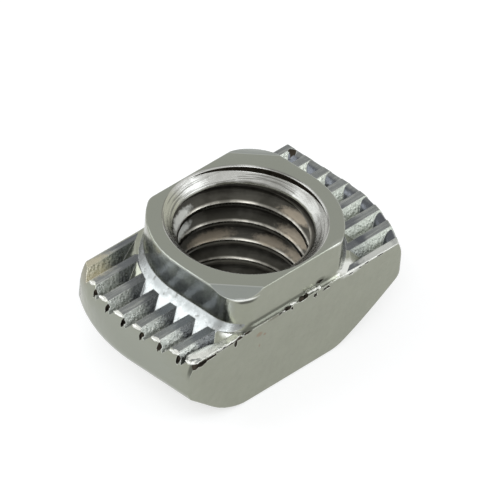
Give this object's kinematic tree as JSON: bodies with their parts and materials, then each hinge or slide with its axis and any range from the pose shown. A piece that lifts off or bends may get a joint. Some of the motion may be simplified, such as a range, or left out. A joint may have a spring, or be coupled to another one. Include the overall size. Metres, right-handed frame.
{
  "type": "drop-in t-nut",
  "caption": "Short steel bar with rounded and square corners, serrated wings, bevelled ends, a raised collar and a threaded hole through it, for a slotted profile.",
  "frame": {"origin": "on the thread's axis, at the flat underside", "axes": "+X along the head, +Y across it, +Z along the thread's axis from the underside to the top of the collar"},
  "size_m": [0.0106, 0.0058, 0.0045],
  "materials": {
    "steel": "dull plated steel, satin, with coined and torn edges"
  },
  "bodies": {
    "root": {"t_nut": "steel"}
  },
  "joints": []
}
